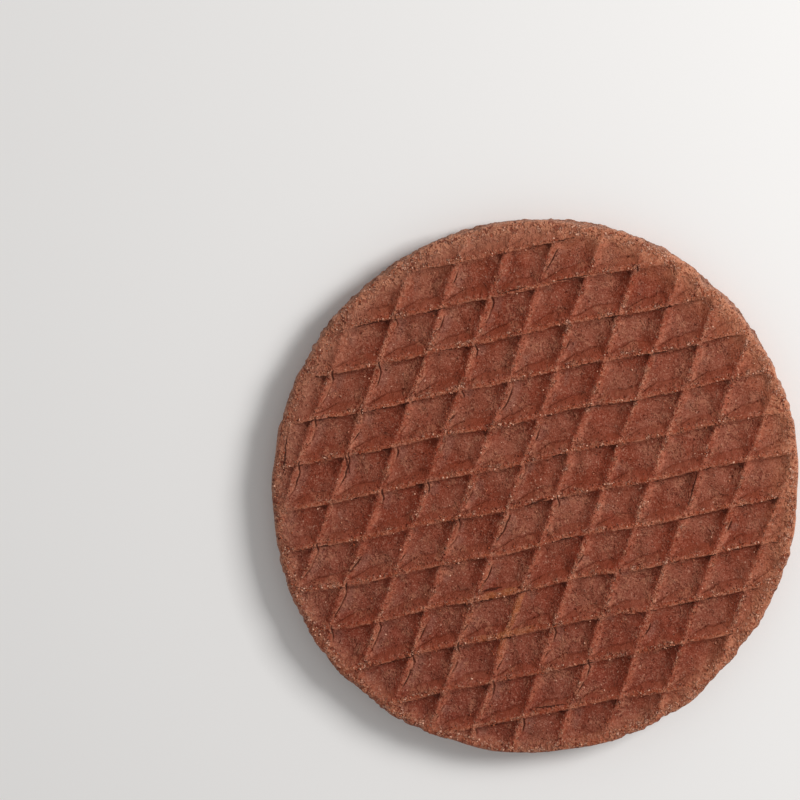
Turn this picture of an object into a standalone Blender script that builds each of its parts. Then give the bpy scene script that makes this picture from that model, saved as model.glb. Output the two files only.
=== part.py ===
"""A chocolate stroopwafel, lying flat on its lower face.

One thin waffle is baked between two plates with a slanting grid, cut round while it is
warm, split through its thickness into two wafers, and stuck together again with caramel
syrup. So the upper wafer carries the grid on top, the lower wafer carries it underneath,
and the syrup shows as a line round the side.

Metres, +Z up. The origin is the centre of the underside, and the waffle rests on the
level crests of its lower ribs.
"""

import math

import bmesh
import bpy
from mathutils import Vector

MM = 0.001

# The whole waffle. Its outline is a circle stretched a little along one diameter.
DIAMETER = 96.0 * MM
STRETCH = 0.015
STRETCH_ANGLE = math.radians(69)
WAFER = 2.8 * MM
SYRUP = 1.0 * MM
CLEARANCE = 0.3 * MM
HEIGHT = 2 * WAFER + SYRUP + 2 * CLEARANCE

# The halves are stuck together a little askew: the lower one is this far off, the upper
# one as far the other way.
ASKEW = Vector((0.12 * MM, 0.20 * MM, 0.0))

# The grid of the iron: two families of parallel ribs, each given by its normal.
PITCH = 7.64 * MM
NORMAL_ANGLES = (math.radians(-19.1), math.radians(101.5))
UPPER_OFFSETS = (3.63 * MM, -1.99 * MM)
LOWER_OFFSETS = tuple(offset + PITCH / 2 for offset in UPPER_OFFSETS)

# The ribs drift from their straight lines in two slow waves, (length, phase) each.
WANDER = 0.12 * MM
WANDER_WAVES = ((9.0 * MM, 0.6), (4.3 * MM, 2.9))

# Half of a rib's section, from the edge of its crest to the pocket's floor.
RIB_SECTION = (
    (0.30 * MM, 0.00 * MM),
    (0.80 * MM, 0.62 * MM),
    (1.70 * MM, 1.05 * MM),
)

# The rim, which the cutter presses down and rounds, widest towards one side.
SEGMENTS = 120
SHOULDER_WIDTH = 2.5 * MM
SHOULDER_DROP = 1.15 * MM
SHOULDER_LEAN = 0.45
SHOULDER_ANGLE = math.radians(135)
SHOULDER_STEPS = 3
RIPPLE = 0.16 * MM
RIPPLE_WAVES = (5, 9, 17, 31)

# How far the cutter passes the dough: below the wafer, and above the crests inside the rim.
OVERCUT = 1.0 * MM
CROWN_WIDTH = 3.0 * MM
CROWN_RISE = 0.4 * MM

# The chip knocked out of the upper wafer's rim.
CHIP_ANGLE = math.radians(50.5)
CHIP_DEPTH = 1.1 * MM
CHIP_WIDTH = 3.4 * MM

# The syrup stands a little inside the wafers and bulges round its edge.
SYRUP_INSET = 0.75 * MM
SYRUP_BULGE = 0.35 * MM

COCOA_BROWN = (0.202, 0.066, 0.040, 1.0)
CARAMEL_AMBER = (0.330, 0.105, 0.022, 1.0)


def clear_scene():
    for item in list(bpy.data.objects):
        bpy.data.objects.remove(item)


def material(name, colour, roughness):
    """A non-metallic Principled surface."""
    made = bpy.data.materials.new(name)
    made.use_nodes = True
    shader = made.node_tree.nodes["Principled BSDF"]
    shader.inputs["Base Color"].default_value = colour
    shader.inputs["Roughness"].default_value = roughness
    shader.inputs["Metallic"].default_value = 0.0
    return made


def ripple(angle, seed):
    """The small waves of a torn, uneven edge, from -1 to 1 times RIPPLE or a little more."""
    waves = (math.sin(count * angle + seed * count * count) for count in RIPPLE_WAVES)
    return RIPPLE * sum(waves) / math.sqrt(len(RIPPLE_WAVES))


def outline_radius(angle, seed):
    """The waffle's radius in a direction, before any chip."""
    stretched = 1 + STRETCH * math.cos(2 * (angle - STRETCH_ANGLE))
    return DIAMETER / 2 * stretched + ripple(angle, seed)


def chip_at(angle):
    """How far the chip reaches into the rim in a direction."""
    along = (angle - CHIP_ANGLE) * DIAMETER / 2
    return CHIP_DEPTH * math.exp(-((2 * along / CHIP_WIDTH) ** 4))


def upper_radius(angle):
    return outline_radius(angle, seed=1.3) - chip_at(angle)


def lower_radius(angle):
    return outline_radius(angle, seed=2.9)


def syrup_radius(angle):
    return outline_radius(angle, seed=4.7) - SYRUP_INSET - ripple(2 * angle, seed=0.4)


def turned_mesh(name, radius_at, profile):
    """A closed solid of rings round the Z axis.

    profile gives each ring's (inset, height) for a direction, from the lowest ring up.
    """
    shape = bmesh.new()
    rings = [[] for _ in profile(0.0)]
    for index in range(SEGMENTS):
        angle = math.tau * index / SEGMENTS
        for ring, (inset, height) in zip(rings, profile(angle)):
            reach = radius_at(angle) - inset
            corner = (reach * math.cos(angle), reach * math.sin(angle), height)
            ring.append(shape.verts.new(corner))
    for below, above in zip(rings, rings[1:]):
        for index in range(SEGMENTS):
            after = (index + 1) % SEGMENTS
            shape.faces.new((below[index], below[after], above[after], above[index]))
    shape.faces.new(reversed(rings[0]))
    shape.faces.new(rings[-1])
    return finished_mesh(name, shape)


def finished_mesh(name, shape):
    bmesh.ops.recalc_face_normals(shape, faces=shape.faces)
    mesh = bpy.data.meshes.new(name)
    shape.to_mesh(mesh)
    shape.free()
    return mesh


def lean(angle):
    """How much wider and lower the rim's shoulder is in a direction than on average."""
    return 1 + SHOULDER_LEAN * math.cos(angle - SHOULDER_ANGLE)


def rim_profile(side):
    """The round cutter's section for a wafer whose ribs point up (side 1) or down (-1).

    Heights count from the level of the rib crests. The wall stands beside the crumb, the
    shoulder curves in over it as a quarter of an ellipse, and the last ring runs on inward
    and rises above the crests.
    """

    def profile(angle):
        width = SHOULDER_WIDTH * lean(angle)
        drop = SHOULDER_DROP * lean(angle)
        section = [(0.0, -WAFER - OVERCUT)]
        for step in range(SHOULDER_STEPS + 1):
            turn = math.pi / 2 * (1 - step / SHOULDER_STEPS)
            section.append((width * (1 - math.sin(turn)), drop * (math.cos(turn) - 1)))
        section.append((width + CROWN_WIDTH, CROWN_RISE))
        section = [(inset, side * height) for inset, height in section]
        return section if side > 0 else section[::-1]

    return profile


def syrup_profile(angle):
    return (
        (SYRUP_BULGE, 0.0),
        (0.0, SYRUP / 2),
        (SYRUP_BULGE, SYRUP),
    )


def grid_point(distances):
    """Where two rib-parallel lines cross, each given by its distance from the centre."""
    (ax, ay), (bx, by) = ((math.cos(a), math.sin(a)) for a in NORMAL_ANGLES)
    spread = ax * by - ay * bx
    first, second = distances
    return Vector(((first * by - second * ay) / spread, (second * ax - first * bx) / spread, 0))


def wander(place):
    """How far a point of the grid has drifted: along X in waves up Y, and the other way."""
    drift = Vector((0, 0, 0))
    for length, phase in WANDER_WAVES:
        drift.x += WANDER * math.sin(place.y / length + phase)
        drift.y += WANDER * math.sin(place.x / length + 2 * phase)
    return drift


def baked_slab(name, offsets, side):
    """A rhombus of baked dough, wider than the waffle, with the iron's grid on one face.

    The crests lie at height 0, and the smooth face lies WAFER away on the other side.
    """
    reach = math.ceil(DIAMETER * (0.5 + STRETCH) / PITCH) + 1
    lines = range(-reach, reach + 1)
    shape = bmesh.new()
    corners = {}

    def corner(line_a, side_a, line_b, side_b, level):
        """A corner of a cell's ring, shared by the faces that meet there."""
        key = (line_a, side_a, line_b, side_b, level)
        if key not in corners:
            inset, depth = RIB_SECTION[level]
            place = grid_point((
                offsets[0] + line_a * PITCH + side_a * inset,
                offsets[1] + line_b * PITCH + side_b * inset,
            ))
            place += wander(place)
            place.z = -side * depth
            corners[key] = shape.verts.new(place)
        return corners[key]

    def ring(line_a, line_b, level):
        """The four corners of a pocket at one level of the rib's section."""
        return (
            corner(line_a, 1, line_b, 1, level),
            corner(line_a + 1, -1, line_b, 1, level),
            corner(line_a + 1, -1, line_b + 1, -1, level),
            corner(line_a, 1, line_b + 1, -1, level),
        )

    def pocket(line_a, line_b):
        """The flanks round a pocket, and its floor."""
        for level in range(len(RIB_SECTION) - 1):
            outer, inner = ring(line_a, line_b, level), ring(line_a, line_b, level + 1)
            for index in range(4):
                after = (index + 1) % 4
                shape.faces.new((outer[index], outer[after], inner[after], inner[index]))
        shape.faces.new(ring(line_a, line_b, len(RIB_SECTION) - 1))

    def crest(a_sides, b_sides):
        """A level piece of crest between two lines, each (line, side), of both families."""
        (a_low, a_high), (b_low, b_high) = a_sides, b_sides
        shape.faces.new((
            corner(*a_low, *b_low, 0),
            corner(*a_high, *b_low, 0),
            corner(*a_high, *b_high, 0),
            corner(*a_low, *b_high, 0),
        ))

    for a in lines:
        for b in lines:
            across_a, across_b = ((a, -1), (a, 1)), ((b, -1), (b, 1))
            along_a, along_b = ((a, 1), (a + 1, -1)), ((b, 1), (b + 1, -1))
            crest(across_a, across_b)
            if b < reach:
                crest(across_a, along_b)
            if a < reach:
                crest(along_a, across_b)
            if a < reach and b < reach:
                pocket(a, b)

    edge = [item for item in shape.edges if item.is_boundary]
    walls = bmesh.ops.extrude_edge_only(shape, edges=edge)["geom"]
    for vertex in (item for item in walls if isinstance(item, bmesh.types.BMVert)):
        vertex.co.z = -side * WAFER
    rim = [item for item in shape.edges if item.is_boundary]
    bmesh.ops.edgeloop_fill(shape, edges=rim)
    return finished_mesh(name, shape)


def shown(name, mesh, finish, place):
    """An object of this mesh at its place, shaded smooth where it is round."""
    mesh.materials.append(finish)
    mesh.shade_smooth()
    mesh.set_sharp_from_angle(angle=math.radians(32))
    made = bpy.data.objects.new(name, mesh)
    made.location = place
    bpy.context.scene.collection.objects.link(made)
    return made


def wafer(name, finish, radius_at, offsets, side, crests):
    """One wafer: the baked slab with its crests at this height, cut round and uneven."""
    level = Vector((0, 0, crests))
    cutter_mesh = turned_mesh(name + "_outline", radius_at, rim_profile(side))
    cutter = shown(name + "_outline", cutter_mesh, finish, level - side * ASKEW)
    cutter.hide_render = True
    cutter.display_type = "WIRE"
    made = shown(name, baked_slab(name, offsets, side), finish, level)
    cut = made.modifiers.new("cut round", "BOOLEAN")
    cut.operation = "INTERSECT"
    cut.solver = "EXACT"
    cut.object = cutter
    return made


def main():
    clear_scene()
    baked = material("baked cocoa wafer", COCOA_BROWN, 0.75)
    caramel = material("caramel syrup", CARAMEL_AMBER, 0.30)
    wafer("wafer_lower", baked, lower_radius, LOWER_OFFSETS, side=-1, crests=0.0)
    syrup = turned_mesh("syrup", syrup_radius, syrup_profile)
    shown("syrup", syrup, caramel, Vector((0, 0, WAFER + CLEARANCE)))
    wafer("wafer_upper", baked, upper_radius, UPPER_OFFSETS, side=1, crests=HEIGHT)


main()
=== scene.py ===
# %% [markdown]
# # Dressing a chocolate stroopwafel
# The solids give a waffle cut into two wafers with syrup between, each at its real size.
# This lesson gives them their baked, crumbly skin. It loads those solids first, because
# every size and place below is taken from them.

# %% Load the fixed frame
import math

import bpy
import numpy as np
from mathutils import Matrix, Vector, noise


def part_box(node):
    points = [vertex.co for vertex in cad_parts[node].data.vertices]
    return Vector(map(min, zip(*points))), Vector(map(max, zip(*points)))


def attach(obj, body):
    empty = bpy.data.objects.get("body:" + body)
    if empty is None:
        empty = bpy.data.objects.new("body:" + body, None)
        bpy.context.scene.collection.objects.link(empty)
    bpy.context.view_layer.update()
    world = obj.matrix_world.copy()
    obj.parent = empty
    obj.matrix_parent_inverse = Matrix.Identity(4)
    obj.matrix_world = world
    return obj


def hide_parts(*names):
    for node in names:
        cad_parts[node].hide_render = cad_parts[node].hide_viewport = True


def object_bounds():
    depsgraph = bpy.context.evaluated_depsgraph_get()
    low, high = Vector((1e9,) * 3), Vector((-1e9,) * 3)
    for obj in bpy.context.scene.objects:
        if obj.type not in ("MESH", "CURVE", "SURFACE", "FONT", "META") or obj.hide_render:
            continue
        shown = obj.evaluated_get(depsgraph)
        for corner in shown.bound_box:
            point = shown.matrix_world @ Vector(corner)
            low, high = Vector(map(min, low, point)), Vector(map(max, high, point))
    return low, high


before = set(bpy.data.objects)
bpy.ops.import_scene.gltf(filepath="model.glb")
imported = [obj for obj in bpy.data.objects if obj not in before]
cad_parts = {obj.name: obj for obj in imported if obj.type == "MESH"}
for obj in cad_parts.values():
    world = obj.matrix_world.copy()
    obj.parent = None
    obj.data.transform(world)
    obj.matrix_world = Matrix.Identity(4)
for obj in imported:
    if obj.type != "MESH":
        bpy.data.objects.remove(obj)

MM = 0.001
CAD_BOX = [list(corner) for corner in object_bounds()]
UPPER_LOW, UPPER_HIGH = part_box("wafer_upper")
LOWER_LOW, LOWER_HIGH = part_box("wafer_lower")
SYRUP_LOW, SYRUP_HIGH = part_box("syrup")
print("waffle", [round(size / MM, 2) for size in UPPER_HIGH - LOWER_LOW], "mm")

# %% [markdown]
# ## Two small helpers
# Node trees are long when every node takes four lines, so one function adds a node, sets
# it up and links it. Colours are picked as on any screen, as sRGB hex values, and shaders
# count in linear light, so one function turns the first into the second.


# %% Add a node, and turn a colour to linear light
def add(tree, kind, inputs=(), **settings):
    """Adds a node and returns its first working output.

    inputs feeds its sockets in order, or by name if it is a dictionary, with values or
    with other nodes' outputs. None leaves a socket as it is.
    """
    made = tree.nodes.new(kind)
    for name, value in settings.items():
        setattr(made, name, value)
    if isinstance(inputs, dict):
        fed = [(made.inputs[name], value) for name, value in inputs.items()]
    else:
        fed = zip([socket for socket in made.inputs if socket.enabled], inputs)
    for socket, value in fed:
        if isinstance(value, bpy.types.NodeSocket):
            tree.links.new(value, socket)
        elif value is not None:
            socket.default_value = value
    return next((socket for socket in made.outputs if socket.enabled), None)


def linear(hex_colour):
    """An sRGB colour such as "8a4a38" as linear RGBA."""
    values = [int(hex_colour[start:start + 2], 16) / 255 for start in (0, 2, 4)]
    return [v / 12.92 if v <= 0.04045 else ((v + 0.055) / 1.055) ** 2.4 for v in values] + [1]


# %% [markdown]
# ## The blank
# A wafer starts as a smooth disc of dough. A disc of rings and spokes has slivers at its
# middle and coarse quads at its rim, so the disc is instead a square grid whose square
# rings are bent to circles: every quad keeps nearly the same size, about 0.3 mm, which
# is fine enough for the grid's ribs and crumbs. The outer rings of the same grid carry
# on over the shoulder, down the wall and under the edge, and a fan closes the inner face,
# which the syrup covers.

# %% Read a solid's outline
SPOKES = 720


def outline_of(node):
    """The centre of a CAD node's flat inner face and its radius in SPOKES directions."""
    low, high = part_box(node)
    centre = (low + high) / 2
    inner = low.z if node == "wafer_upper" else high.z
    corners = np.array([v.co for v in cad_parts[node].data.vertices])
    corners = corners[abs(corners[:, 2] - inner) < 0.01 * MM]
    across, up = corners[:, 0] - centre.x, corners[:, 1] - centre.y
    angles, radii = np.arctan2(up, across), np.hypot(across, up)
    order = np.argsort(angles)
    spokes = np.linspace(-math.pi, math.pi, SPOKES, endpoint=False)
    found = np.interp(spokes, angles[order], radii[order], period=math.tau)
    return centre, spokes, found


# %% Shape the blank
SHOULDER_WIDTH = 2.5 * MM
SHOULDER_DROP = 1.15 * MM
SHOULDER_LEAN = 0.45
SHOULDER_ANGLE = math.radians(135)
LIP = 1.2 * MM
RINGS = {"top": 130, "shoulder": 13, "wall": 10, "lip": 3}


def bent_square(rings):
    """Ring number and direction of each point of a square grid bent to a disc."""
    i, j = np.meshgrid(np.arange(-rings, rings + 1), np.arange(-rings, rings + 1))
    ring = np.maximum(abs(i), abs(j))
    wide = abs(i) >= abs(j)
    major = np.where(wide, i, j)
    minor = np.where(wide, j, i)
    turn = math.pi / 4 * minor / np.where(major == 0, 1, major)
    angle = np.where(wide, turn, math.pi / 2 - turn) + np.where(major < 0, math.pi, 0)
    return ring.ravel(), angle.ravel()


def section(ring, reach, width, drop, thickness):
    """Radius and height of each point, from the middle out, over, down and under."""
    ends = np.cumsum(list(RINGS.values()))
    flat = np.clip(ring / ends[0], 0, 1)
    turn = np.clip((ring - ends[0]) / RINGS["shoulder"], 0, 1) * math.pi / 2
    down = np.clip((ring - ends[1]) / RINGS["wall"], 0, 1)
    under = np.clip((ring - ends[2]) / RINGS["lip"], 0, 1)
    radius = (reach - width) * flat + width * np.sin(turn) - LIP * under
    height = drop * (np.cos(turn) - 1) - (thickness - drop) * down
    return radius, height


def blank(name, node):
    """A closed disc with the node's outline, its upper face at height 0."""
    centre, spokes, radii = outline_of(node)
    low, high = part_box(node)
    rings = sum(RINGS.values())
    ring, angle = bent_square(rings)
    lean = 1 + SHOULDER_LEAN * np.cos(angle - SHOULDER_ANGLE)
    reach = np.interp(angle, spokes, radii, period=math.tau)
    radius, height = section(
        ring, reach, SHOULDER_WIDTH * lean, SHOULDER_DROP * lean, high.z - low.z)
    points = np.stack(
        (centre.x + radius * np.cos(angle), centre.y + radius * np.sin(angle), height), 1)
    side = 2 * rings + 1
    index = np.arange(side * side).reshape(side, side)
    quads = np.stack(
        (index[:-1, :-1], index[:-1, 1:], index[1:, 1:], index[1:, :-1]), -1).reshape(-1, 4)
    border = np.concatenate(
        (index[0, :-1], index[:-1, -1], index[-1, :0:-1], index[:0:-1, 0]))
    middle = len(points)
    fan = [(b, a, middle) for a, b in zip(border, np.roll(border, -1))]
    points = np.vstack((points, (centre.x, centre.y, low.z - high.z)))
    mesh = bpy.data.meshes.new(name)
    mesh.from_pydata(points.tolist(), [], quads.tolist() + fan)
    inset = np.where(ring > RINGS["top"] + RINGS["shoulder"], 0.0, reach - radius)
    down = np.append(np.clip(ring - RINGS["top"] - RINGS["shoulder"], 0, None), 0)
    for label, values in (("inset", np.append(inset, 0.0) / MM), ("down", down)):
        mesh.attributes.new(label, "FLOAT", "POINT").data.foreach_set(
            "value", values.astype(np.float32))
    made = bpy.data.objects.new(name, mesh)
    bpy.context.scene.collection.objects.link(made)
    return made


# %% [markdown]
# ## The iron's grid
# The relief follows a rule, so a Geometry Nodes tree presses it: for each of two families
# of parallel ribs it takes a point's distance from the nearest rib line, and a curve
# turns that distance into a depth. The shallower of the two wins, which leaves a sunk
# pocket between every four ribs. Drawing each rib as a bar would leave seams at all the
# crossings; a depth rule has none, and noise added to the distances and to the depth
# makes the crests crumble and the floors wrinkle as dough does.
# The tree counts in millimetres, so that each number is a size one can check on a waffle.

# %% Sizes of the grid
PITCH = 7.64
NORMAL_ANGLES = (math.radians(-19.1), math.radians(101.5))
UPPER_OFFSETS = (3.63, -1.99)
LOWER_OFFSETS = tuple(offset + PITCH / 2 for offset in UPPER_OFFSETS)
RIB_DEPTH = 0.95
RIB_REACH = 3.0
FIRST_SECTION = (
    (-2.7, 1.0), (-2.2, 0.94), (-1.7, 0.82), (-1.25, 0.65), (-0.8, 0.44), (-0.4, 0.23),
    (-0.05, 0.05), (0.2, 0.0), (0.4, 0.09), (0.7, 0.31), (1.1, 0.56), (1.5, 0.73),
    (2.0, 0.87), (2.5, 0.96), (2.9, 1.0))
SECOND_SECTION = (
    (-2.9, 1.0), (-2.4, 0.94), (-1.9, 0.82), (-1.45, 0.62), (-1.05, 0.34), (-0.8, 0.12),
    (-0.6, 0.02), (-0.4, 0.0), (0.0, 0.08), (0.5, 0.30), (1.0, 0.56), (1.6, 0.84), (2.2, 1.0))
STEEP_SECTION = (
    (-2.7, 1.0), (-2.2, 0.95), (-1.7, 0.84), (-1.3, 0.64), (-1.0, 0.36), (-0.8, 0.08),
    (-0.6, 0.0), (-0.4, 0.0), (0.0, 0.08), (0.5, 0.30), (1.0, 0.56), (1.6, 0.84), (2.2, 1.0))
WANDER = 0.12
WANDER_WAVES = ((9.0, 0.6), (4.3, 2.9))


# %% The parts of the pressing tree
def drifted(tree, place):
    """The place with the ribs' slow drift taken out."""
    for length, phase in WANDER_WAVES:
        parts = add(tree, "ShaderNodeSeparateXYZ", (place,)).node.outputs
        wave = add(tree, "ShaderNodeCombineXYZ", (parts["Y"], parts["X"]))
        wave = add(tree, "ShaderNodeVectorMath",
                   (wave, (1 / length, 1 / length, 0), (phase, 2 * phase, 0)),
                   operation="MULTIPLY_ADD")
        wave = add(tree, "ShaderNodeVectorMath", (wave,), operation="SINE")
        wave = add(tree, "ShaderNodeVectorMath", (wave, (WANDER, WANDER, 0)),
                   operation="MULTIPLY")
        place = add(tree, "ShaderNodeVectorMath", (place, wave), operation="SUBTRACT")
    return place


def across_ribs(tree, place, angle, offset):
    """Distance across one family of ribs, from its line nearest the middle."""
    across = add(tree, "ShaderNodeVectorMath",
                 (place, (math.cos(angle), math.sin(angle), 0)), operation="DOT_PRODUCT")
    return add(tree, "ShaderNodeMath", (across, offset), operation="SUBTRACT")


def beside_rib(tree, across, pitch):
    """Signed distance from the nearest rib line, in millimetres."""
    half = add(tree, "ShaderNodeMath", (pitch, 0.5), operation="MULTIPLY")
    minus_half = add(tree, "ShaderNodeMath", (pitch, -0.5), operation="MULTIPLY")
    return add(tree, "ShaderNodeMath", (across, half, minus_half), operation="WRAP")


def grain(tree, place, size, detail=2.0, distortion=0.0, seed=0.0):
    """A noise whose lumps are about this many millimetres, from -1 to 1."""
    made = add(tree, "ShaderNodeTexNoise",
               {"Vector": place, "Scale": 1 / size, "Detail": detail,
                "Distortion": distortion, "W": seed}, noise_dimensions="4D")
    return add(tree, "ShaderNodeMath", (made, 2.0, -1.0), operation="MULTIPLY_ADD")


def ramp(tree, value, low, high, to_low=0.0, to_high=1.0):
    """The value's smooth step from low to high."""
    return add(tree, "ShaderNodeMapRange", (value, low, high, to_low, to_high),
               interpolation_type="SMOOTHSTEP")


def weighed(tree, start, *shares):
    """The start with each value added at its weight."""
    for value, weight in shares:
        start = add(tree, "ShaderNodeMath", (value, weight, start), operation="MULTIPLY_ADD")
    return start


def weighed_vector(tree, place, value, weight):
    """The place moved along all three axes by the value at its weight."""
    move = add(tree, "ShaderNodeVectorMath", {"Vector": (weight, weight, weight),
                                              "Scale": value}, operation="SCALE")
    return add(tree, "ShaderNodeVectorMath", (place, move), operation="ADD")


def times(tree, *values):
    """The product of all the values."""
    product = values[0]
    for value in values[1:]:
        product = add(tree, "ShaderNodeMath", (product, value), operation="MULTIPLY")
    return product


def line(tree, value, half_width):
    """1 where the value is 0, falling to 0 at the half width."""
    off = add(tree, "ShaderNodeMath", (value,), operation="ABSOLUTE")
    return ramp(tree, off, half_width, 0.3 * half_width)


def rib_level(tree, beside, section):
    """How far down a family of ribs has fallen at a distance beside it, from 0 to 1."""
    share = add(tree, "ShaderNodeMath", (beside, 0.5 / RIB_REACH, 0.5),
                operation="MULTIPLY_ADD", use_clamp=True)
    level = add(tree, "ShaderNodeFloatCurve", {"Value": share})
    curve = level.node.mapping.curves[0]
    curve.points[0].location = (0, 1)
    for place, height in section:
        curve.points.new(place / RIB_REACH / 2 + 0.5, height)
    level.node.mapping.update()
    return level


# %% The pressing tree
def pressing_tree():
    tree = bpy.data.node_groups.new("press the iron's grid", "GeometryNodeTree")
    tree.is_modifier = True
    face = tree.interface
    face.new_socket(name="Geometry", in_out="INPUT", socket_type="NodeSocketGeometry")
    face.new_socket(name="Geometry", in_out="OUTPUT", socket_type="NodeSocketGeometry")
    for label in ("Pitch", "First Offset", "Second Offset", "Rib Depth", "Set Back", "Seed"):
        face.new_socket(name=label, in_out="INPUT", socket_type="NodeSocketFloat")
    face.new_socket(name="Material", in_out="INPUT", socket_type="NodeSocketMaterial")
    given = add(tree, "NodeGroupInput").node.outputs
    seed = given["Seed"]

    place = add(tree, "GeometryNodeInputPosition")
    place = add(tree, "ShaderNodeVectorMath", {"Vector": place, "Scale": 1 / MM},
                operation="SCALE")
    parts = add(tree, "ShaderNodeSeparateXYZ", (place,)).node.outputs
    inset = add(tree, "GeometryNodeInputNamedAttribute", {"Name": "inset"},
                data_type="FLOAT")
    down = add(tree, "GeometryNodeInputNamedAttribute", {"Name": "down"},
               data_type="FLOAT")

    # Crumbs of 0.7 mm break the crests, frays bend their sides, lumps of 3 mm the floors.
    crumble = grain(tree, place, 0.8, detail=2.0, seed=seed)
    fray = grain(tree, place, 1.7, detail=2.0, seed=seed)
    lumps = grain(tree, place, 3.2, detail=2.0, seed=seed)
    patches = grain(tree, place, 9.0, detail=1.0, seed=seed)

    # Every rib also strays a little to its sides, each stretch its own way.
    straight = drifted(tree, place)
    stray = [grain(tree, place, 12.0, detail=1.0, seed=turn) for turn in (21.0, 34.0)]
    first, second = (
        weighed(tree, across_ribs(tree, straight, angle, given[label]), (aside, 0.7))
        for angle, label, aside in zip(
            NORMAL_ANGLES, ("First Offset", "Second Offset"), stray))
    beside_first = weighed(tree, beside_rib(tree, first, given["Pitch"]),
                           (fray, 0.12), (crumble, 0.10))
    beside_second = weighed(tree, beside_rib(tree, second, given["Pitch"]),
                            (fray, 0.16), (crumble, 0.16))
    # A crest's lower side came out steep at the right end of each pocket, gentle at its left.
    wave = add(tree, "ShaderNodeMath", (times(tree, first, math.tau / PITCH),),
               operation="SINE")
    stuck = ramp(tree, weighed(tree, 0.0, (wave, -0.45),
                               (grain(tree, place, 4.5, detail=1.0, seed=seed), 1.5)),
                 -0.25, 0.35)
    second_level = add(tree, "ShaderNodeMix",
                       (stuck, rib_level(tree, beside_second, SECOND_SECTION),
                        rib_level(tree, beside_second, STEEP_SECTION)), data_type="FLOAT")
    level = add(tree, "ShaderNodeMath",
                (rib_level(tree, beside_first, FIRST_SECTION), second_level, 0.06),
                operation="SMOOTH_MIN")
    lean = add(tree, "ShaderNodeVectorMath", (
        place, (math.cos(SHOULDER_ANGLE) / 45, math.sin(SHOULDER_ANGLE) / 45, 0)),
        operation="DOT_PRODUCT").node.outputs["Value"]
    press = ramp(tree, times(tree, inset, ramp(tree, lean, 0.2, 1.0, 1.0, 0.65)), 0.0, 3.2)
    corner = times(tree, ramp(tree, beside_first, -2.8, -1.2), ramp(tree, beside_first, 0.2, -0.2),
                   ramp(tree, beside_second, -3.0, -1.5), ramp(tree, beside_second, 0.2, -0.2))
    sunk = times(tree, level, press, weighed(tree, 1.0, (corner, 0.25)))
    on_crest = add(tree, "ShaderNodeMath", (1.0, level), operation="SUBTRACT")

    # Everything that takes the surface below the crests' level, in millimetres.
    rough = times(tree, crumble, on_crest)
    deeper = weighed(tree, 1.0, (grain(tree, place, 5.0, detail=1.0, seed=seed), 0.9))
    depth = weighed(tree, 0.20, (times(tree, sunk, deeper), given["Rib Depth"]),
                    (rough, 0.30), (crumble, 0.05), (fray, 0.08), (lumps, 0.16),
                    (patches, 0.18))
    depth = add(tree, "ShaderNodeMath", (depth, 0.02), operation="MAXIMUM")
    pressed = add(tree, "ShaderNodeMath", (parts["Z"], depth), operation="SUBTRACT")
    on_top = ramp(tree, down, 0.5, 1.5, 1.0, 0.0)
    height = add(tree, "ShaderNodeMix", (on_top, parts["Z"], pressed), data_type="FLOAT")

    # The cut wall is torn and spongy, but nowhere stands out of the waffle's own box.
    torn = ramp(tree, inset, 1.2, 0.0)
    tear = weighed(tree, given["Set Back"],
                   (grain(tree, place, 1.1, detail=3.0, seed=seed), 0.60),
                   (grain(tree, place, 3.4, detail=2.0, seed=seed), 0.70))
    size = add(tree, "ShaderNodeVectorMath", (place,), operation="ABSOLUTE")
    size = add(tree, "ShaderNodeSeparateXYZ", (size,)).node.outputs
    size = add(tree, "ShaderNodeMath", (size["X"], size["Y"]), operation="MAXIMUM")
    tear = add(tree, "ShaderNodeMath", (tear, ramp(tree, size, 45.8, 47.2, -0.35, 0.01)),
               operation="MAXIMUM")
    inward = add(tree, "ShaderNodeVectorMath", (place, (-1, -1, 0)), operation="MULTIPLY")
    inward = add(tree, "ShaderNodeVectorMath", (inward,), operation="NORMALIZE")
    back = add(tree, "ShaderNodeVectorMath",
               {"Vector": inward, "Scale": times(tree, torn, tear)}, operation="SCALE")
    moved = add(tree, "ShaderNodeCombineXYZ", (parts["X"], parts["Y"], height))
    moved = add(tree, "ShaderNodeVectorMath", (moved, back), operation="ADD")
    moved = add(tree, "ShaderNodeVectorMath", {"Vector": moved, "Scale": MM},
                operation="SCALE")

    geometry = add(tree, "GeometryNodeSetPosition",
                   {"Geometry": given["Geometry"], "Position": moved})
    for label, value in (("first", first), ("second", second)):
        geometry = add(tree, "GeometryNodeStoreNamedAttribute",
                       {"Geometry": geometry, "Name": label, "Value": value},
                       data_type="FLOAT", domain="POINT")
    geometry = add(tree, "GeometryNodeRealizeInstances", (geometry,))
    geometry = add(tree, "GeometryNodeSetMaterial",
                   {"Geometry": geometry, "Material": given["Material"]})
    add(tree, "NodeGroupOutput", (geometry,))
    return tree


# %% Run a tree and keep the result as a plain mesh
def grown(source, tree, values):
    """The plain mesh that the tree makes of the source object with these inputs."""
    modifier = source.modifiers.new(tree.name, "NODES")
    modifier.node_group = tree
    for item in tree.interface.items_tree:
        if item.in_out == "INPUT" and item.name in values:
            modifier[item.identifier] = values[item.name]
    depsgraph = bpy.context.evaluated_depsgraph_get()
    mesh = bpy.data.meshes.new_from_object(
        source.evaluated_get(depsgraph), preserve_all_data_layers=True, depsgraph=depsgraph)
    source.modifiers.remove(modifier)
    mesh.shade_smooth()
    return mesh
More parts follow.
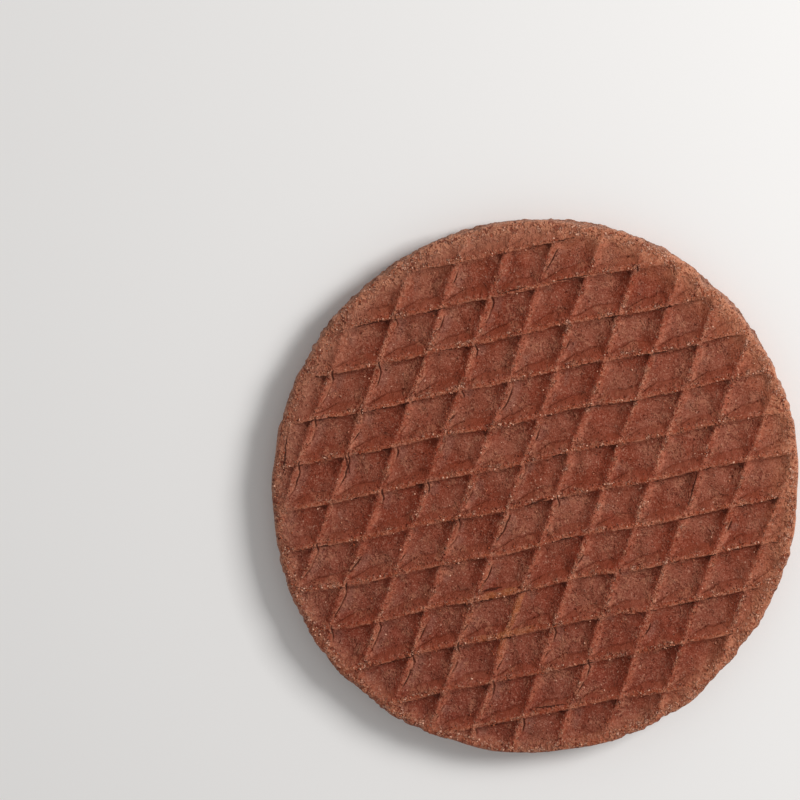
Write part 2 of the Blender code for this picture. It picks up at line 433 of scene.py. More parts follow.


# %% [markdown]
# ## Baked cocoa wafer
# Dark cocoa dough baked on iron is matte, reddish brown, redder where it lay smooth on
# the iron's flanks, greyer on the pocket floors, and pale where crumbs broke off.
# The pressing tree has stored on each point how far it lies across each family of ribs,
# and the blank how far in from the rim and down the wall it lies, so the colours follow
# the shape and not a second guess of it.


# %% Parts of the wafer's finish
def attribute(tree, name):
    return add(tree, "ShaderNodeAttribute", attribute_name=name).node.outputs["Fac"]


def tint(tree, share, colour, other):
    """One colour going over to another with share."""
    return add(tree, "ShaderNodeMix", (share, colour, other), data_type="RGBA")


def object_millimetres(tree):
    place = add(tree, "ShaderNodeTexCoord").node.outputs["Object"]
    return add(tree, "ShaderNodeVectorMath", {"Vector": place, "Scale": 1 / MM},
               operation="SCALE")


def cells(tree, place, size):
    """Distance from the middle and a random share for each cell of a size."""
    made = add(tree, "ShaderNodeTexVoronoi", {"Vector": place, "Scale": 1 / size})
    chance = add(tree, "ShaderNodeSeparateColor", (made.node.outputs["Color"],))
    return made.node.outputs["Distance"], chance


def chips(tree, place, size):
    """How far a point is inside its broken piece, and a random share for each piece."""
    edge = add(tree, "ShaderNodeTexVoronoi", {"Vector": place, "Scale": 1 / size},
               feature="DISTANCE_TO_EDGE")
    return edge, cells(tree, place, size)[1]


def towards(tree, place, degrees, reach=45.0):
    """How far out a point lies in one direction, 1 at the reach."""
    angle = math.radians(degrees)
    return add(tree, "ShaderNodeVectorMath",
               (place, (math.cos(angle) / reach, math.sin(angle) / reach, 0)),
               operation="DOT_PRODUCT").node.outputs["Value"]


def split(tree, place, start, end, width):
    """1 in a crack from start to end, widest halfway, with the place already frayed."""
    run = Vector(end) - Vector(start)
    flat = add(tree, "ShaderNodeVectorMath", (place, (1, 1, 0)), operation="MULTIPLY")
    start = (start[0], start[1], 0)
    from_start = add(tree, "ShaderNodeVectorMath", (flat, start), operation="SUBTRACT")
    share = add(tree, "ShaderNodeVectorMath",
                (from_start, (run.x / run.length_squared, run.y / run.length_squared, 0)),
                operation="DOT_PRODUCT").node.outputs["Value"]
    share = add(tree, "ShaderNodeClamp", (share, 0.0, 1.0))
    nearest = add(tree, "ShaderNodeVectorMath", {"Vector": (run.x, run.y, 0), "Scale": share},
                  operation="SCALE")
    off = add(tree, "ShaderNodeVectorMath", (from_start, nearest), operation="DISTANCE")
    off = off.node.outputs["Value"]
    middle = add(tree, "ShaderNodeMath", (share, 0.5), operation="SUBTRACT")
    middle = add(tree, "ShaderNodeMath", (middle,), operation="ABSOLUTE")
    return ramp(tree, weighed(tree, off, (middle, 1.2 * width)), width, 0.4 * width)


# %% Splits that opened as the waffle cooled, each from, to and half as wide
SPLITS = (
    ((-2.0, -3.4), (2.3, -1.7), 0.42), ((-9.9, -19.0), (-6.1, -18.1), 0.34),
    ((-45.6, 2.4), (-44.9, 9.5), 0.26), ((2.7, 37.4), (9.4, 38.6), 0.24),
    ((-6.1, 35.4), (-2.0, 36.5), 0.22), ((27.4, -3.4), (29.0, 2.8), 0.24),
    ((-34.6, 6.3), (-33.5, 2.5), 0.28), ((0.0, -40.3), (5.4, -39.7), 0.22))
GOLDEN = (((-0.5, -1.5), 7.0), ((-6.0, -23.0), 11.0))


# %% The wafer's finish
def cocoa_wafer():
    finish = bpy.data.materials.new("baked cocoa wafer")
    finish.use_nodes = True
    tree = finish.node_tree
    shader = tree.nodes["Principled BSDF"]
    place = object_millimetres(tree)
    first = beside_rib(tree, attribute(tree, "first"), PITCH)
    second = beside_rib(tree, attribute(tree, "second"), PITCH)
    inset, down = attribute(tree, "inset"), attribute(tree, "down")

    meal = grain(tree, place, 0.55, detail=2.0)
    fray = grain(tree, place, 1.3, detail=2.0)
    blotch = grain(tree, place, 3.0, detail=2.0)
    zones = grain(tree, place, 8.0, detail=1.5)

    # How near a point is to a crest, and how near to the rim, both frayed.
    on_first = add(tree, "ShaderNodeMath", (first, 0.45), operation="SUBTRACT")
    on_second = add(tree, "ShaderNodeMath", (second, 0.25), operation="ADD")
    nearest = add(tree, "ShaderNodeMath",
                  (add(tree, "ShaderNodeMath", (on_first,), operation="ABSOLUTE"),
                   add(tree, "ShaderNodeMath", (on_second,), operation="ABSOLUTE")),
                  operation="MINIMUM")
    crest = ramp(tree, weighed(tree, nearest, (fray, 0.4), (meal, 0.3), (blotch, 0.3)),
                 0.75, 0.40)
    rim = ramp(tree, weighed(tree, inset, (blotch, 2.4), (fray, 1.5)), 3.6, 0.8)
    wall = ramp(tree, down, 0.5, 3.0)
    crumbly = add(tree, "ShaderNodeMath", (crest, rim), operation="MAXIMUM")

    # The rim lost its skin and is paler; on the side toward the lamp it is painted paler
    # still, as painted light. Its very edge is a torn lip, paler still, and the wide shoulder
    # opposite is painted greyer, a painted sheen.
    painted_lit_rim = times(tree, ramp(tree, weighed(tree, inset, (blotch, 3.0), (fray, 1.5)), 7.5, 1.0),
                   ramp(tree, towards(tree, place, 52.4), -1.0, 0.7))
    shouldered = towards(tree, place, 145)
    shoulder = times(tree, ramp(tree, weighed(tree, inset, (blotch, 2.0)), 6.0, 2.0),
                     ramp(tree, shouldered, 0.2, 0.9))
    torn = times(tree, ramp(tree, weighed(tree, inset, (fray, 0.30), (meal, 0.25)), 0.42, 0.12),
                 ramp(tree, towards(tree, place, 100), -0.9, 0.2, 0.25, 1.0))

    # The skin is smooth but for fine grit; where the crests broke it is coarse crumbs.
    strewn = weighed_vector(tree, place, meal, 0.45)
    grit = grain(tree, place, 0.24, detail=1.0)
    clumps = ramp(tree, weighed(tree, 0.0, (blotch, 1.0), (fray, 0.7), (rim, 0.25)),
                  0.08, 0.30)
    broken = times(tree, crumbly, weighed(tree, 0.15, (clumps, 0.70), (rim, 0.15)))
    inside = weighed(tree, 1.0, (rim, -0.75))
    edge, chance = chips(tree, strewn, 0.46)
    coarse = times(tree, ramp(tree, edge, 0.02, 0.22), broken, weighed(tree, -0.2, (chance, 1.2)))
    specks = times(tree, ramp(tree, edge, 0.03, 0.18), broken, ramp(tree, chance, 0.62, 0.85))
    gaps = times(tree, broken, inside, add(tree, "ShaderNodeMath", (
        ramp(tree, chance, 0.30, 0.22), ramp(tree, edge, 0.10, 0.02)), operation="MAXIMUM"))
    apart, chance = cells(tree, strewn, 1.0)
    sparse = times(tree, ramp(tree, apart, 0.22, 0.08), ramp(tree, chance, 0.80, 1.0))
    specks = add(tree, "ShaderNodeMath", (specks, times(tree, sparse, 0.8)),
                 operation="MAXIMUM")
    specks = times(tree, specks, weighed(tree, 1.0, (wall, -0.6)))

    # Wrinkles are bent creases in the pocket floors of some parts.
    bent = grain(tree, place, 2.6, detail=2.0, distortion=1.2)
    wrinkled = ramp(tree, weighed(tree, 0.0, (blotch, 1.0), (zones, 0.5)), 0.02, 0.25)
    folds = times(tree, line(tree, bent, 0.16), wrinkled)
    wrinkles = line(tree, grain(tree, place, 1.1, detail=2.0, distortion=0.8), 0.12)
    wrinkles = times(tree, wrinkles, inside)
    # Crumbly dough curls: bright little edges with a hollow beside each.
    curl = grain(tree, place, 1.2, detail=1.5, distortion=1.2)
    curly = times(tree, rim, ramp(tree, towards(tree, place, 52.4), -0.9, 0.6, 0.35, 1.0))
    curly = add(tree, "ShaderNodeMath", (broken, curly), operation="MAXIMUM")
    curly = add(tree, "ShaderNodeMath", (curly, times(tree, wrinkled, 0.40)),
                operation="MAXIMUM")
    curls = times(tree, line(tree, curl, 0.18), curly, weighed(tree, 1.0, (wall, -0.5)))
    hollows = times(tree, line(tree, add(tree, "ShaderNodeMath", (curl, 0.38),
                                         operation="ADD"), 0.28), curly)
    uneven = ramp(tree, weighed(tree, 0.0, (blotch, 1.0)), -0.25, 0.25, 0.3, 1.0)

    # A kink sharpens the crests that lie across the light: dark side, bright side.
    kink = add(tree, "ShaderNodeMath",
               (weighed(tree, first, (fray, 0.10), (meal, 0.16)), 0.20), operation="SUBTRACT")
    kink = add(tree, "ShaderNodeMath", (kink,), operation="ABSOLUTE")
    kink = ramp(tree, kink, 0.9, -0.9, 0.0, 2.0)

    # The other crests' lower edge is ragged and stands over the pocket, mostly at its right.
    wave = add(tree, "ShaderNodeMath", (times(tree, first, math.tau / PITCH),),
               operation="SINE")
    under = weighed(tree, second, (fray, 0.20), (meal, 0.30))
    under = add(tree, "ShaderNodeMath", (under, 0.92), operation="ADD")
    standing = ramp(tree, weighed(tree, grain(tree, place, 4.5, detail=1.0), (fray, 0.3),
                                  (wave, -0.16)), -0.10, 0.15)
    off_rim = ramp(tree, inset, 1.5, 3.5)
    ledge = times(tree, ramp(tree, under, 0.10, -0.12), ramp(tree, under, -0.9, -0.2),
                  standing, off_rim)
    shade = times(tree, ramp(tree, under, 0.10, -0.15), ramp(tree, under, -1.1, -0.2),
                  weighed(tree, 0.35, (standing, 0.65)), off_rim)

    # Above such a crest the slope is smooth and redder, and wider the further it lies from
    # a crossing. A groove where the dough folded parts it from the pocket's floor, dented
    # in the bump and painted dark as its shade.
    ahead = add(tree, "ShaderNodeMath", (first, PITCH - 0.3, -0.3), operation="WRAP")
    reach = add(tree, "ShaderNodeMath",
                (weighed(tree, -0.10, (ahead, 0.50)),
                 weighed(tree, 1.60, (blotch, 0.9), (fray, 0.3))), operation="MINIMUM")
    beyond = add(tree, "ShaderNodeMath", (weighed(tree, second, (fray, 0.22)), reach),
                 operation="SUBTRACT")
    smooth = times(tree, ramp(tree, second, 0.0, 0.45), ramp(tree, beyond, 0.10, -0.14),
                   ramp(tree, inset, 1.0, 4.0))
    folded = ramp(tree, weighed(tree, grain(tree, place, 5.0, detail=1.0), (fray, 0.3)),
                  -0.25, 0.10, 0.25, 1.0)
    groove_and_shade = times(tree, line(tree, beyond, 0.26), ramp(tree, second, 0.0, 0.3), folded,
                   ramp(tree, ahead, 7.0, 6.0), off_rim)
    # Along many ribs the skin came off as a lip, bowed out from one crossing to the next.
    below = add(tree, "ShaderNodeMath", (second, 0.5, 0.5 - PITCH), operation="WRAP")
    bow = times(tree, ramp(tree, below, -0.2, -2.2), ramp(tree, below, -7.0, -4.0))
    foot = weighed(tree, -0.35, (first, 1.0), (bow, -0.85), (blotch, 0.50), (meal, 0.08))
    lipped = ramp(tree, weighed(tree, grain(tree, place, 5.5, detail=1.0), (fray, 0.3),
                                (towards(tree, place, 180), 0.35)), 0.04, 0.18)
    lipped = times(tree, lipped, ramp(tree, below, 0.1, -0.4), ramp(tree, below, -6.8, -5.0),
                   off_rim)
    lip = times(tree, ramp(tree, foot, 0.14, -0.06), ramp(tree, foot, -1.0, -0.1), lipped)
    lip_shade = times(tree, line(tree, add(tree, "ShaderNodeMath", (foot, 0.10),
                                           operation="SUBTRACT"), 0.22), lipped)
    greyed = times(tree, ramp(tree, foot, 0.05, 0.5), ramp(tree, foot, 2.2, 1.0), lipped)

    lipline = add(tree, "ShaderNodeMath", (weighed(tree, under, (meal, 0.10)), 0.22),
                  operation="SUBTRACT")
    lipline = times(tree, line(tree, lipline, 0.26), off_rim,
                    ramp(tree, weighed(tree, grain(tree, place, 2.2, detail=2.0), (meal, 0.5)),
                         -0.25, 0.25))

    # In many corners between two ribs a small wedge is dented in the bump and painted dark as
    # shade.
    slant = weighed(tree, 2.8, (first, 1.0), (second, 1.2))
    wedge_dent_and_shade = times(tree, ramp(tree, under, 0.06, -0.14), ramp(tree, slant, 0.0, 0.5),
                  ramp(tree, weighed(tree, first, (fray, 0.2), (meal, 0.15)), -0.05, -0.30),
                  ramp(tree, weighed(tree, grain(tree, place, 5.5, detail=1.0, seed=7.0),
                                     (fray, 0.2)), -0.08, 0.18), off_rim)

    # Cracks open under some of those edges and at the foot of the steep ribs.
    often = ramp(tree, weighed(tree, grain(tree, place, 4.0, detail=2.0), (fray, 0.35)),
                 0.10, 0.28)
    seldom = ramp(tree, weighed(tree, grain(tree, place, 5.5, detail=1.0),
                                (towards(tree, place, 180), 0.25)), 0.10, 0.24)
    cracks = add(tree, "ShaderNodeMath",
                 (times(tree, line(tree, under, 0.17), often),
                  times(tree, line(tree, foot, 0.16), seldom, lipped)), operation="MAXIMUM")
    cracks = times(tree, cracks, off_rim)
    frayed = weighed_vector(tree, place, fray, 0.35)
    for start, end, width in SPLITS:
        cracks = add(tree, "ShaderNodeMath",
                     (cracks, split(tree, frayed, start, end, width)), operation="MAXIMUM")

    # Pores are bubbles that broke the skin; some left a ring and did not open.
    apart, chance = cells(tree, strewn, 2.4)
    pores = times(tree, ramp(tree, apart, 0.12, 0.05), ramp(tree, chance, 0.60, 0.62))
    ring = add(tree, "ShaderNodeMath", (apart, 0.15), operation="SUBTRACT")
    rings = times(tree, line(tree, ring, 0.05), ramp(tree, chance, 0.35, 0.33))
    apart, chance = cells(tree, strewn, 0.75)
    small = times(tree, ramp(tree, apart, 0.28, 0.14), ramp(tree, chance, 0.60, 0.68))
    small = times(tree, small, weighed(tree, 0.7, (crumbly, 0.3)))
    apart, chance = cells(tree, strewn, 1.5)
    worm = add(tree, "ShaderNodeMath", (apart, 0.24), operation="SUBTRACT")
    worms = times(tree, line(tree, worm, 0.07), ramp(tree, chance, 0.52, 0.46),
                  ramp(tree, meal, -0.05, 0.12))
    pores = add(tree, "ShaderNodeMath", (pores, small), operation="MAXIMUM")

    colour = tint(tree, ramp(tree, zones, -0.28, 0.28), linear("843b26"), linear("8d4d39"))
    # Painted shade: the colour darkens towards the bottom, a little to the left.
    colour = tint(tree, ramp(tree, towards(tree, place, -110), -0.2, 1.1, 0.0, 0.45),
                  colour, linear("75362a"))
    colour = tint(tree, times(tree, ramp(tree, blotch, -0.1, 0.5), 0.5), colour,
                  linear("854c3c"))
    # Painted light: the flank of the steep ribs that faces the lamp is painted paler, in streaks.
    edged = weighed(tree, first, (fray, 0.10), (meal, 0.16))
    strayed = weighed(tree, first, (grain(tree, place, 2.6, detail=1.0, seed=2.0), 1.3))
    lit = times(tree, ramp(tree, edged, 0.10, 0.45), ramp(tree, strayed, 1.75, 0.85))
    along = add(tree, "ShaderNodeCombineXYZ", (times(tree, first, 3.0), second))
    along = weighed_vector(tree, along, blotch, 0.4)
    streaks = grain(tree, along, 1.1, detail=1.0)
    lit = times(tree, lit, weighed(tree, 0.60, (meal, 0.7), (streaks, 1.1),
                                   (grain(tree, place, 4.0), 1.8)))
    colour = tint(tree, times(tree, lit, 0.95), colour, linear("ac624a"))
    # Painted shade: the flank beside each steep crest that faces away from the lamp is painted
    # darker and redder.
    painted_flank_shade = times(tree, ramp(tree, first, 0.15, -0.15), ramp(tree, first, -1.4, -0.5))
    colour = tint(tree, times(tree, painted_flank_shade, 0.45), colour, linear("7e2f1b"))
    # Painted shade: the corner of each pocket under two ribs is painted dark.
    painted_corner_shade = times(tree, ramp(tree, first, -3.4, -1.4), ramp(tree, first, 0.2, -0.3),
                 ramp(tree, second, -3.2, -1.7), ramp(tree, second, -0.6, -1.1), off_rim)
    colour = tint(tree, times(tree, painted_corner_shade, 0.5), colour, linear("5c200f"))
    colour = tint(tree, times(tree, smooth, 0.50), colour, linear("7e3822"))
    straw = weighed(tree, second, (fray, 0.15), (meal, 0.25))
    straw = times(tree, ramp(tree, straw, -0.82, -0.45), ramp(tree, straw, 0.10, -0.30))
    often = grain(tree, place, 4.0, seed=5.0)
    colour = tint(tree, times(tree, straw, weighed(tree, 0.9, (often, 1.6)), 0.45), colour,
                  linear("a4502f"))
    # Pale crumbs cling to some stretches of these crests and to the knobs at crossings.
    knob = add(tree, "ShaderNodeMath", (first, 0.25), operation="SUBTRACT")
    knob = add(tree, "ShaderNodeMath", (knob,), operation="ABSOLUTE")
    pale = times(tree, straw, ramp(tree, weighed(
        tree, often, (fray, 0.5), (ramp(tree, knob, 1.1, 0.3), 0.30)), 0.08, 0.34))
    # They cling to stretches of the steeper ribs too.
    shed = add(tree, "ShaderNodeMath", (weighed(tree, first, (fray, 0.25)), 0.42),
               operation="SUBTRACT")
    shed = ramp(tree, add(tree, "ShaderNodeMath", (shed,), operation="ABSOLUTE"), 0.60, 0.28)
    shed = times(tree, shed, ramp(tree, weighed(
        tree, grain(tree, place, 6.5, detail=1.0, seed=9.0), (fray, 0.5)), 0.0, 0.25), off_rim)
    pale = add(tree, "ShaderNodeMath", (pale, times(tree, shed, 0.80)),
               operation="MAXIMUM")
    colour = tint(tree, times(tree, pale, ramp(tree, weighed(tree, grit, (meal, 0.8)),
                                               -0.15, 0.35, 0.0, 1.0)), colour,
                  linear("dc9a7a"))
    colour = tint(tree, times(tree, greyed, 0.45), colour, linear("8a5a4c"))
    colour = tint(tree, times(tree, crest, 0.28), colour, linear("8c2c0a"))
    colour = tint(tree, times(tree, rim, 0.35), colour, linear("a86448"))
    # The rim's lamp side gets painted light and the far shoulder a painted grey sheen.
    colour = tint(tree, times(tree, painted_lit_rim, 0.50), colour, linear("b87252"))
    colour = tint(tree, times(tree, shoulder, 0.40), colour, linear("8c5a4a"))
    for middle, reach in GOLDEN:
        off_gold = add(tree, "ShaderNodeVectorMath", (place, (middle[0], middle[1], 0)),
                       operation="DISTANCE").node.outputs["Value"]
        golden = times(tree, ramp(tree, weighed(tree, off_gold, (blotch, 4.0)), reach,
                                  0.5 * reach), crumbly)
        colour = tint(tree, times(tree, golden, 0.40), colour, linear("b8743c"))
    colour = tint(tree, wall, colour, linear("8c5440"))
    colour = tint(tree, times(tree, torn, 0.45), colour, linear("d4a48c"))
    grainy = times(tree, weighed(tree, 0.0, (grit, 0.9), (meal, 0.55)),
                   weighed(tree, 1.0, (smooth, -0.45)))
    colour = tint(tree, times(tree, ramp(tree, grainy, 0.02, 0.60), 0.75), colour,
                  linear("b47e68"))
    colour = tint(tree, times(tree, wrinkles, uneven, 0.20), colour, linear("5a1e0e"))
    colour = tint(tree, times(tree, ramp(tree, grainy, -0.02, -0.55), inside, 0.75), colour,
                  linear("561806"))
    colour = tint(tree, times(tree, worms, 0.60), colour, linear("521404"))
    colour = tint(tree, times(tree, hollows, 0.55), colour, linear("6a200c"))
    colour = tint(tree, times(tree, curls, 0.60), colour, linear("cc8868"))
    colour = tint(tree, times(tree, lipline, 0.46), colour, linear("c47c5e"))
    colour = tint(tree, times(tree, specks, 0.80), colour, linear("d6a088"))
    colour = tint(tree, times(tree, gaps, 0.58), colour, linear("561606"))
    colour = tint(tree, times(tree, shade, 0.38), colour, linear("4e180a"))
    colour = tint(tree, times(tree, groove_and_shade, 0.42), colour, linear("5a1c0a"))
    colour = tint(tree, times(tree, lip, ramp(tree, foot, -0.5, -0.15), 0.35), colour,
                  linear("c08064"))
    colour = tint(tree, times(tree, lip_shade, 0.55), colour, linear("4a1a0e"))
    colour = tint(tree, times(tree, wedge_dent_and_shade, 0.60), colour, linear("3c140a"))
    colour = tint(tree, times(tree, pores, 0.70), colour, linear("4c1204"))
    colour = tint(tree, times(tree, cracks, 0.78), colour, linear("38120a"))
    tree.links.new(colour, shader.inputs["Base Color"])

    # Heights in millimetres for the bump.
    relief = weighed(tree, 0.0, (grit, 0.05), (times(tree, meal, uneven), 0.10),
                     (times(tree, meal, crumbly), 0.12), (fray, 0.10), (coarse, 0.22),
                     (times(tree, wrinkles, uneven), -0.05), (gaps, -0.07), (folds, -0.07),
                     (kink, 0.08), (ledge, -0.12), (groove_and_shade, -0.10), (lip, 0.10),
                     (cracks, -0.20), (wedge_dent_and_shade, -0.10), (pores, -0.12), (rings, -0.05),
                     (worms, -0.07), (curls, 0.08), (hollows, -0.06), (lipline, 0.05),
                     (times(tree, pale, meal), 0.22))
    bump = add(tree, "ShaderNodeBump", {"Strength": 1.0, "Distance": MM, "Height": relief})
    tree.links.new(bump, shader.inputs["Normal"])
    shader.inputs["Roughness"].default_value = 0.60
    shader.inputs["Specular IOR Level"].default_value = 0.12
    return finish


COCOA = cocoa_wafer()

# %% [markdown]
# ## Pressing the two wafers

# %% Press both wafers
PRESSING = pressing_tree()


def pressed_wafer(name, node, offsets, set_back, seed):
    source = blank(name + "_blank", node)
    mesh = grown(source, PRESSING, {
        "Pitch": PITCH, "First Offset": offsets[0], "Second Offset": offsets[1],
        "Rib Depth": RIB_DEPTH, "Set Back": set_back, "Seed": seed, "Material": COCOA})
    bpy.data.objects.remove(source)
    low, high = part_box(node)
    if node == "wafer_upper":
        mesh.transform(Matrix.Translation((0, 0, high.z)))
    else:
        mesh.transform(Matrix.Scale(-1, 4, (0, 0, 1)))
        mesh.flip_normals()
    made = bpy.data.objects.new(name, mesh)
    bpy.context.scene.collection.objects.link(made)
    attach(made, "root")
    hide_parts(node)
    print(name, len(mesh.polygons), "faces")
    return made


upper = pressed_wafer("baked_wafer_upper", "wafer_upper", UPPER_OFFSETS, -0.10, 3.0)
lower = pressed_wafer("baked_wafer_lower", "wafer_lower", LOWER_OFFSETS, 0.50, 8.0)

# %% [markdown]
# ## Crumbs on the crests
# The crests' skin broke when the iron was opened, and crumbs of 0.1 to 0.4 mm stand on
# them. There are thousands and their places follow a rule, so a second tree strews them:
# most along the crests and the rim, a few elsewhere, each turned and stretched its own way.


# %% Crumbs
def broken_crumb():
    finish = bpy.data.materials.new("broken wafer crumb")
    finish.use_nodes = True
    tree = finish.node_tree
    shader = tree.nodes["Principled BSDF"]
    tone = attribute(tree, "tone")
    colour = tint(tree, ramp(tree, tone, 0.0, 0.8), linear("98482c"), linear("b46c4e"))
    colour = tint(tree, ramp(tree, tone, 0.50, 0.95), colour, linear("dca88e"))
    tree.links.new(colour, shader.inputs["Base Color"])
    shader.inputs["Roughness"].default_value = 0.65
    shader.inputs["Specular IOR Level"].default_value = 0.15
    return finish


def strewing_tree():
    tree = bpy.data.node_groups.new("strew crumbs", "GeometryNodeTree")
    tree.is_modifier = True
    face = tree.interface
    face.new_socket(name="Geometry", in_out="INPUT", socket_type="NodeSocketGeometry")
    face.new_socket(name="Geometry", in_out="OUTPUT", socket_type="NodeSocketGeometry")
    for label in ("Pitch", "Density", "Smallest", "Largest", "Top"):
        face.new_socket(name=label, in_out="INPUT", socket_type="NodeSocketFloat")
    face.new_socket(name="Seed", in_out="INPUT", socket_type="NodeSocketInt")
    face.new_socket(name="Material", in_out="INPUT", socket_type="NodeSocketMaterial")
    given = add(tree, "NodeGroupInput").node.outputs
    named = {name: add(tree, "GeometryNodeInputNamedAttribute", {"Name": name},
                       data_type="FLOAT") for name in ("first", "second", "inset")}
    place = add(tree, "GeometryNodeInputPosition")
    place = add(tree, "ShaderNodeVectorMath", {"Vector": place, "Scale": 1 / MM},
                operation="SCALE")
    blotch = grain(tree, place, 3.0, detail=2.0)
    first = beside_rib(tree, named["first"], given["Pitch"])
    second = beside_rib(tree, named["second"], given["Pitch"])
    first = add(tree, "ShaderNodeMath", (first, 0.15), operation="SUBTRACT")
    first = add(tree, "ShaderNodeMath", (first,), operation="ABSOLUTE")
    second = add(tree, "ShaderNodeMath", (second, 0.45), operation="ADD")
    second = add(tree, "ShaderNodeMath", (second,), operation="ABSOLUTE")
    first = weighed(tree, 0.25, (first, 1.0))
    nearest = add(tree, "ShaderNodeMath", (first, second), operation="MINIMUM")
    crest = ramp(tree, weighed(tree, nearest, (blotch, 0.3)), 0.42, 0.15)
    rim = ramp(tree, weighed(tree, named["inset"], (blotch, 1.5)), 2.4, 0.4)
    patchy = ramp(tree, blotch, -0.10, 0.25, 0.10, 1.0)
    chance = weighed(tree, 0.010, (times(tree, crest, patchy), 1.0), (rim, 0.25))
    chance = times(tree, chance, ramp(tree, named["inset"], 0.4, 0.6))
    points = add(tree, "GeometryNodeDistributePointsOnFaces",
                 {"Mesh": given["Geometry"], "Seed": given["Seed"],
                  "Density": times(tree, given["Density"], chance)}, distribute_method="RANDOM")
    size = add(tree, "FunctionNodeRandomValue",
               {"Min": given["Smallest"], "Max": given["Largest"], "Seed": 1},
               data_type="FLOAT")
    stretch = add(tree, "FunctionNodeRandomValue",
                  {0: (0.7, 0.7, 0.6), 1: (1.3, 1.3, 1.0), "Seed": 2},
                  data_type="FLOAT_VECTOR")
    turn = add(tree, "FunctionNodeRandomValue",
               {0: (0, 0, 0), 1: (math.tau, math.tau, math.tau), "Seed": 3},
               data_type="FLOAT_VECTOR")
    crumb = add(tree, "GeometryNodeMeshIcoSphere", {"Radius": 1.0, "Subdivisions": 1})
    scale = add(tree, "ShaderNodeVectorMath", {"Vector": stretch, "Scale": size},
                operation="SCALE")
    crumbs = add(tree, "GeometryNodeInstanceOnPoints",
                 {"Points": points, "Instance": crumb, "Rotation": turn, "Scale": scale})
    tone = add(tree, "FunctionNodeRandomValue", {"Min": 0.0, "Max": 1.0, "Seed": 4},
               data_type="FLOAT")
    crumbs = add(tree, "GeometryNodeStoreNamedAttribute",
                 {"Geometry": crumbs, "Name": "tone", "Value": tone},
                 data_type="FLOAT", domain="INSTANCE")
    crumbs = add(tree, "GeometryNodeRealizeInstances", (crumbs,))
    place = add(tree, "GeometryNodeInputPosition")
    parts = add(tree, "ShaderNodeSeparateXYZ", (place,)).node.outputs
    height = add(tree, "ShaderNodeMath", (parts["Z"], given["Top"]), operation="MINIMUM")
    kept = add(tree, "ShaderNodeCombineXYZ", (parts["X"], parts["Y"], height))
    crumbs = add(tree, "GeometryNodeSetPosition", {"Geometry": crumbs, "Position": kept})
    crumbs = add(tree, "GeometryNodeSetMaterial",
                 {"Geometry": crumbs, "Material": given["Material"]})
    add(tree, "NodeGroupOutput", (crumbs,))
    return tree


CRUMB = broken_crumb()
STREWING = strewing_tree()
source = bpy.data.objects.new("crumb_source", upper.data.copy())
bpy.context.scene.collection.objects.link(source)
mesh = grown(source, STREWING, {
    "Pitch": PITCH, "Density": 4.2e6, "Smallest": 0.09 * MM, "Largest": 0.22 * MM,
    "Top": UPPER_HIGH.z - 0.01 * MM, "Seed": 5, "Material": CRUMB})
bpy.data.objects.remove(source)
crumbs = bpy.data.objects.new("crest_crumbs", mesh)
bpy.context.scene.collection.objects.link(crumbs)
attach(crumbs, "root")
print("crumbs", len(mesh.polygons) // 20)


# %% [markdown]
# ## Caramel syrup


# %% Syrup
def caramel_syrup():
    finish = bpy.data.materials.new("caramel syrup")
    finish.use_nodes = True
    tree = finish.node_tree
    shader = tree.nodes["Principled BSDF"]
    place = add(tree, "ShaderNodeTexCoord").node.outputs["Object"]
    place = add(tree, "ShaderNodeVectorMath", {"Vector": place, "Scale": 1 / MM},
                operation="SCALE")
    depth = grain(tree, place, 2.5, detail=2.0)
    colour = tint(tree, ramp(tree, depth, -0.4, 0.4), linear("6b3312"), linear("8a4a1c"))
    tree.links.new(colour, shader.inputs["Base Color"])
    shader.inputs["Roughness"].default_value = 0.28
    shader.inputs["IOR"].default_value = 1.49
    return finish


# %% Squeeze the syrup out to the wafers' edge
SYRUP_ROWS = 13
SYRUP_OVERLAP = 0.02 * MM
SYRUP_BULGE = 0.30 * MM


def syrup_layer():
    """A closed layer that fills the gap, with an edge that bulges, runs and draws back."""
    centre, spokes, radii = outline_of("syrup")
    low = LOWER_HIGH.z - SYRUP_OVERLAP
    high = UPPER_LOW.z + SYRUP_OVERLAP
    rows = np.linspace(-1, 1, SYRUP_ROWS)
    points = []
    for row in rows:
        height = (low + high) / 2 + row * (high - low) / 2
        for angle, radius in zip(spokes, radii):
            at = Vector((radius * math.cos(angle), radius * math.sin(angle), height)) / MM
            runs = 0.32 * noise.noise(at / 4.0) + 0.16 * noise.noise(at / 1.1)
            radius += SYRUP_BULGE * (1 - row * row) - SYRUP_BULGE + runs * MM
            points.append((centre.x + radius * math.cos(angle),
                           centre.y + radius * math.sin(angle), height))
    points += [(centre.x, centre.y, low), (centre.x, centre.y, high)]
    faces = []
    for i in range(SPOKES):
        j = (i + 1) % SPOKES
        faces.append((j, i, SYRUP_ROWS * SPOKES))
        top = (SYRUP_ROWS - 1) * SPOKES
        faces.append((top + i, top + j, SYRUP_ROWS * SPOKES + 1))
        for row in range(SYRUP_ROWS - 1):
            faces.append((row * SPOKES + i, row * SPOKES + j,
                          (row + 1) * SPOKES + j, (row + 1) * SPOKES + i))
    mesh = bpy.data.meshes.new("caramel_syrup")
    mesh.from_pydata(points, [], faces)
    mesh.materials.append(CARAMEL)
    mesh.shade_smooth()
    made = bpy.data.objects.new("caramel_syrup", mesh)
    bpy.context.scene.collection.objects.link(made)
    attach(made, "root")
    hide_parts("syrup")
    print("caramel_syrup", len(faces), "faces")
    return made


CARAMEL = caramel_syrup()
syrup_layer()

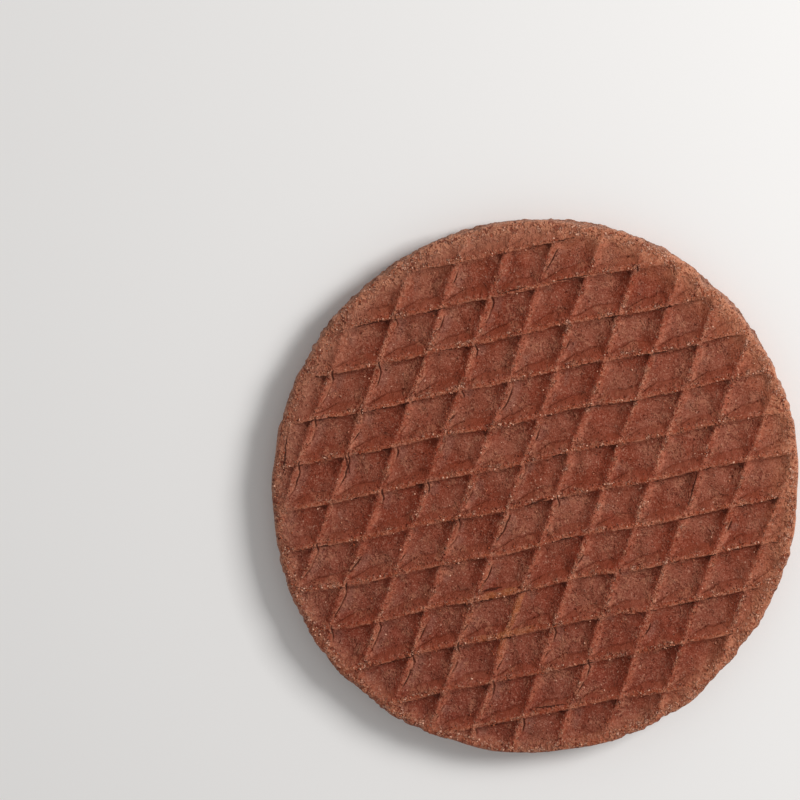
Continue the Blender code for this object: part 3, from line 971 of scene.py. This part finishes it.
# %% Floor, light and camera
floor = bpy.data.meshes.new("floor")
floor.from_pydata([(-1, -1, 0), (1, -1, 0), (1, 1, 0), (-1, 1, 0)], [], [(0, 1, 2, 3)])
floor_object = bpy.data.objects.new("floor", floor)
floor_object.location.z = -0.02 * MM
bpy.context.scene.collection.objects.link(floor_object)
paper = bpy.data.materials.new("matte white paper")
paper.use_nodes = True
paper.node_tree.nodes["Principled BSDF"].inputs["Base Color"].default_value = linear("f2f0ee")
paper.node_tree.nodes["Principled BSDF"].inputs["Roughness"].default_value = 0.9
floor.materials.append(paper)


def area_light(name, azimuth, elevation, distance, size, power):
    lamp = bpy.data.lights.new(name, "AREA")
    lamp.size = size
    lamp.energy = power
    made = bpy.data.objects.new(name, lamp)
    direction = Vector((
        math.cos(math.radians(azimuth)) * math.cos(math.radians(elevation)),
        math.sin(math.radians(azimuth)) * math.cos(math.radians(elevation)),
        math.sin(math.radians(elevation))))
    made.location = direction * distance
    made.rotation_euler = direction.to_track_quat("Z", "Y").to_euler()
    bpy.context.scene.collection.objects.link(made)
    return made


area_light("key", 26, 41, 0.65, 0.25, 3.4)
world = bpy.data.worlds.new("studio")
world.use_nodes = True
world.node_tree.nodes["Background"].inputs["Color"].default_value = (1, 1, 1, 1)
world.node_tree.nodes["Background"].inputs["Strength"].default_value = 0.40
bpy.context.scene.world = world
bpy.context.scene.view_settings.view_transform = "Standard"

LENS = 200.0
SENSOR = 36.0
LEAN = math.radians(7.35)
camera = bpy.data.cameras.new("camera")
camera.lens = LENS
camera.sensor_width = SENSOR
focal_px = 800 * LENS / SENSOR
distance = focal_px / 5550
centre = Vector((0, 0, CAD_BOX[1][2]))
towards = Vector((0, math.sin(LEAN), math.cos(LEAN)))
across = Vector((0, 1, 0)).cross(towards).normalized()
up = towards.cross(across)
camera_object = bpy.data.objects.new("camera", camera)
turn = Matrix((across, up, towards)).transposed()
camera_object.matrix_world = Matrix.Translation(
    centre - across * 0.0245 - up * -0.01595 + towards * distance) @ turn.to_4x4()
bpy.context.scene.collection.objects.link(camera_object)
bpy.context.scene.camera = camera_object
